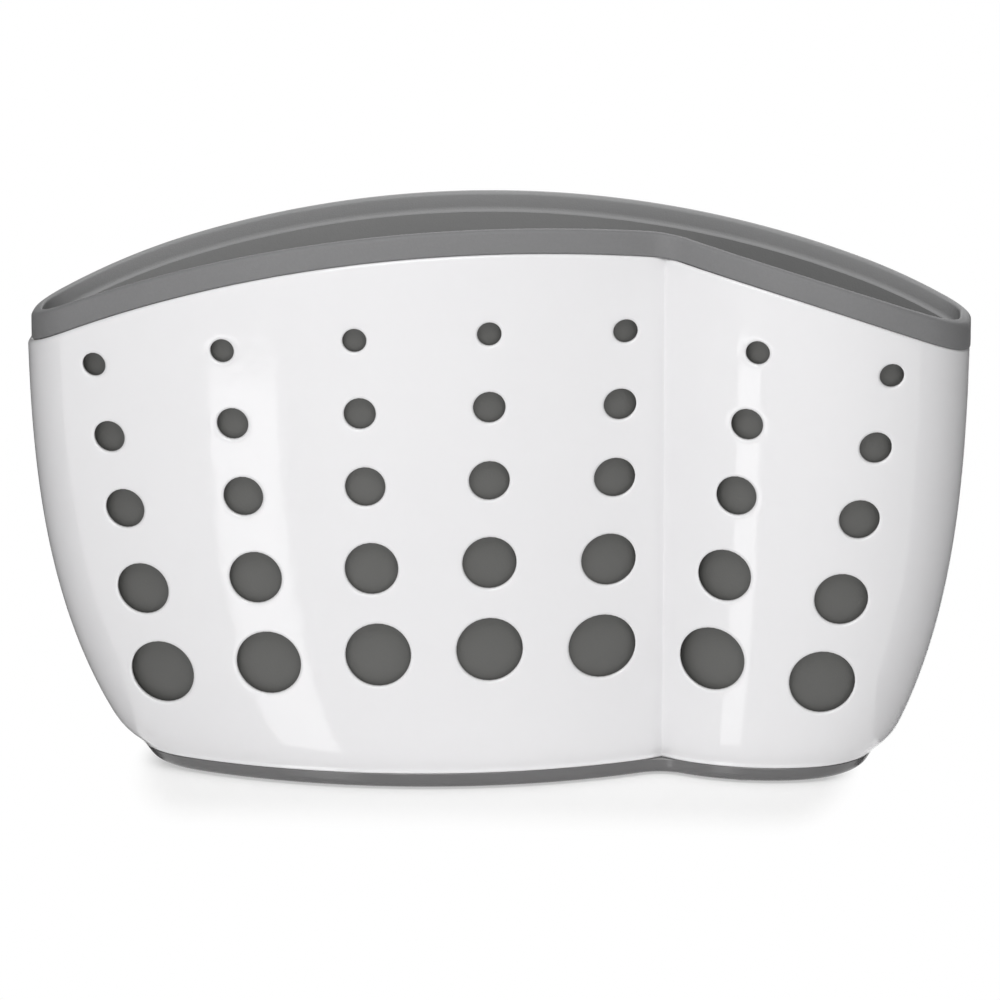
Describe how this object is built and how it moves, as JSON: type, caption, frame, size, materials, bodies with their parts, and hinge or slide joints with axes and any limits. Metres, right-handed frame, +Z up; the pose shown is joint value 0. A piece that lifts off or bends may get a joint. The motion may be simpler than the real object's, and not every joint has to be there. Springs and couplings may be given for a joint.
{
  "type": "kitchen sink caddy",
  "caption": "Kitchen sink caddy: a perforated white sleeve on a base tray, with a lift-out grey liner, a soft arched rim and a divider between its pockets.",
  "frame": {"origin": "middle of the footprint, on the counter", "axes": "+Z up, +X to the right as seen from the front, the front lobes face -Y and the flat back faces +Y"},
  "size_m": [0.2159, 0.0523, 0.1305],
  "materials": {
    "white_shell": "gloss",
    "grey_liner": "satin",
    "soft_rim": "matte",
    "grey_base": "satin",
    "pad_rubber": "matte"
  },
  "bodies": {
    "base": {"base_tray": "grey_base", "foot_pads": "pad_rubber"},
    "shell": {"outer_shell": "white_shell"},
    "liner": {"liner": "grey_liner", "rim_band": "soft_rim"},
    "divider": {"divider": "grey_liner"}
  },
  "joints": [
    {"name": "shell_lift", "type": "slide", "parent": "base", "child": "shell", "axis": [0, 0, 1], "range_m": [0, 0.012]},
    {"name": "liner_lift", "type": "slide", "parent": "shell", "child": "liner", "axis": [0, 0, 1], "range_m": [0, 0.12]},
    {"name": "divider_lift", "type": "slide", "parent": "liner", "child": "divider", "axis": [0, 0, 1], "range_m": [0, 0.12]}
  ]
}
